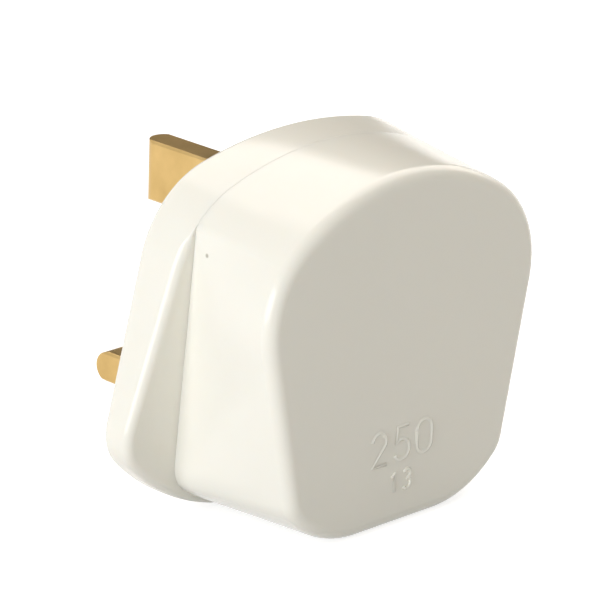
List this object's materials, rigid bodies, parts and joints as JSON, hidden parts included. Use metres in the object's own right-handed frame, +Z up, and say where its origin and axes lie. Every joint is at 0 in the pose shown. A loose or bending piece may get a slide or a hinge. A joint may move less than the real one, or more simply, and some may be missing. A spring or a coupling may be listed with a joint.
{
  "type": "uk three pin plug",
  "caption": "Rewirable three pin mains plug: cream cover on a flanged base with finger grips, brass pins, a cartridge fuse, terminals and a cord grip inside.",
  "frame": {"origin": "on the engagement face, midway between the two power pins", "axes": "+Y along the pins, out of the engagement face; +Z up to the earth pin; +X to the line pin; the cable leaves along -Z"},
  "size_m": [0.06, 0.0452, 0.0469],
  "materials": {
    "cream_plastic": "glossy moulded cream-white plastic",
    "pin_brass": "satin drawn brass",
    "clip_metal": "sprung brass strip",
    "fuse_ceramic": "unglazed white ceramic",
    "cap_metal": "nickel plated",
    "screw_metal": "zinc plated steel",
    "washer_fibre": "red vulcanised fibre"
  },
  "bodies": {
    "root": {"base": "cream_plastic", "cover": "cream_plastic", "earth_pin": "pin_brass", "neutral_pin": "pin_brass", "line_pin": "pin_brass", "line_terminal": "pin_brass", "fuse_clip_lower": "clip_metal", "fuse_clip_upper": "clip_metal", "clip_rivet_lower": "clip_metal", "clip_rivet_upper": "clip_metal", "fuse_tube": "fuse_ceramic", "fuse_cap_lower": "cap_metal", "fuse_cap_upper": "cap_metal", "fuse_wire": "cap_metal", "earth_terminal_screw": "screw_metal", "neutral_terminal_screw": "screw_metal", "line_terminal_screw": "screw_metal", "cord_grip_bar": "cream_plastic", "cord_grip_screw_left": "screw_metal", "cord_grip_screw_right": "screw_metal", "cover_screw": "screw_metal", "cover_screw_washer": "washer_fibre", "cover_insert": "pin_brass"}
  },
  "joints": []
}
